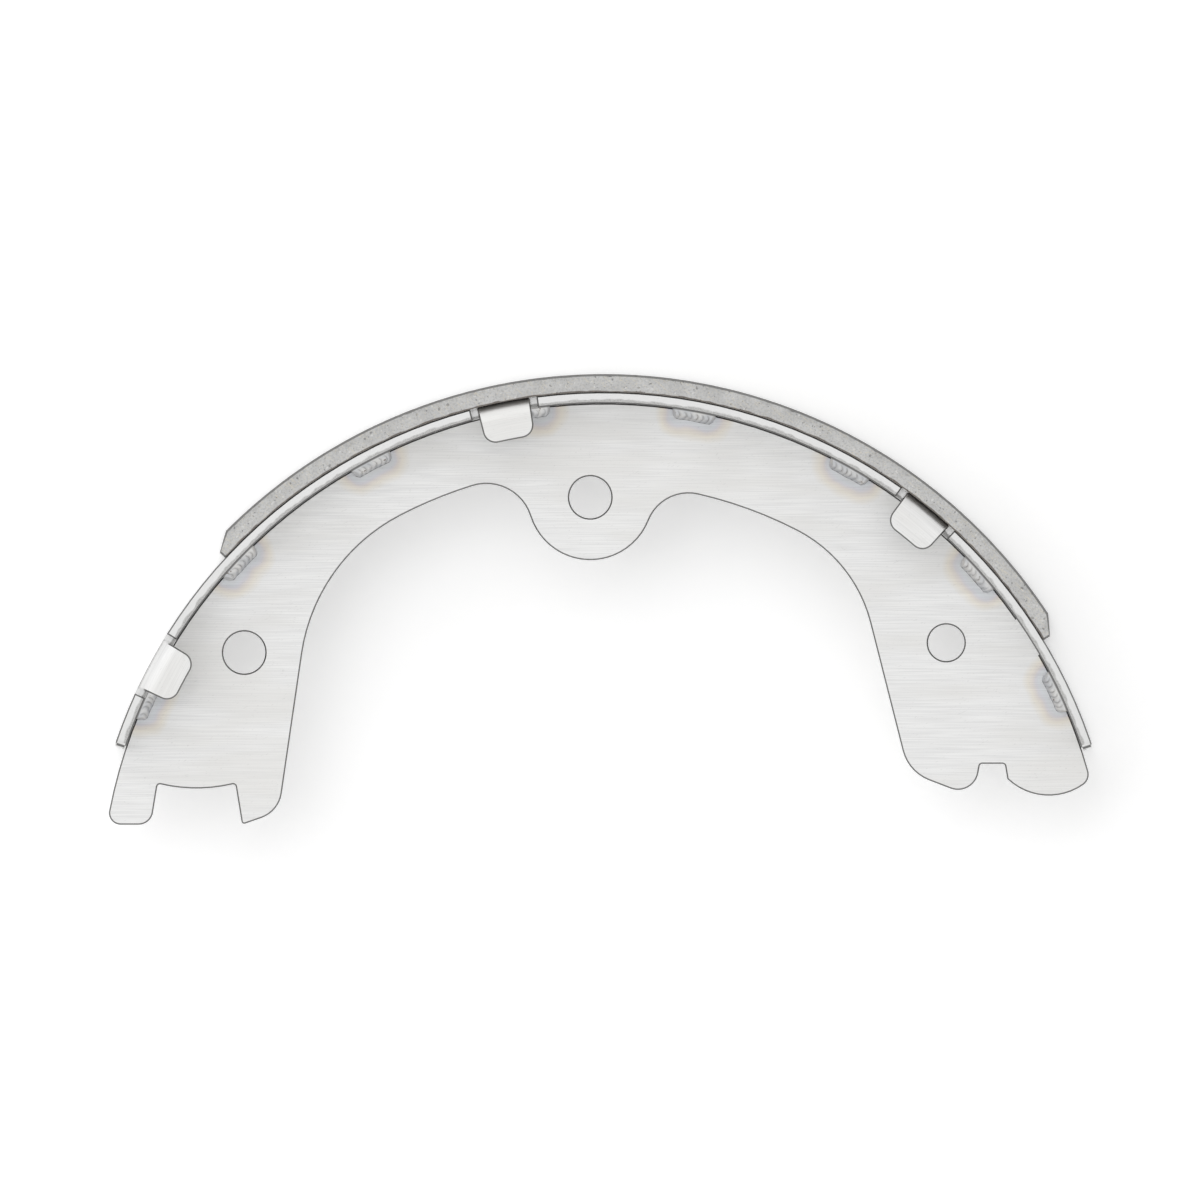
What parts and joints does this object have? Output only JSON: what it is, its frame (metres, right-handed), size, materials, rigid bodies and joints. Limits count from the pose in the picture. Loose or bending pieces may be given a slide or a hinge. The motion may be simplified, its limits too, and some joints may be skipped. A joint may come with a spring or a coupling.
{
  "type": "brake shoe",
  "caption": "Curved drum brake shoe: a stamped web with feet, slot, notch and holes, a rolled table with bent-in guide ears and weld beads, and a bonded friction lining with thinned ends.",
  "frame": {"origin": "middle of the hold-down hole, half way through the web. The drum's axis is parallel to Z and passes through X +2.3407 mm, Y -72.8624 mm", "axes": "+X from the slotted foot towards the rounded foot, +Y from the drum's axis towards the crown of the arch, +Z along the drum's axis, square to the web"},
  "size_m": [0.175, 0.0802, 0.033],
  "materials": {
    "web_steel": "satin rolled sheet steel with a stamped edge",
    "table_steel": "satin rolled strip steel, bent and sheared",
    "friction_lining": "ground moulded friction compound with fine flecks",
    "weld_metal": "rippled weld metal, slightly darker than the sheet"
  },
  "bodies": {
    "root": {"web": "web_steel", "table": "table_steel", "lining": "friction_lining", "weld_beads": "weld_metal"}
  },
  "joints": []
}
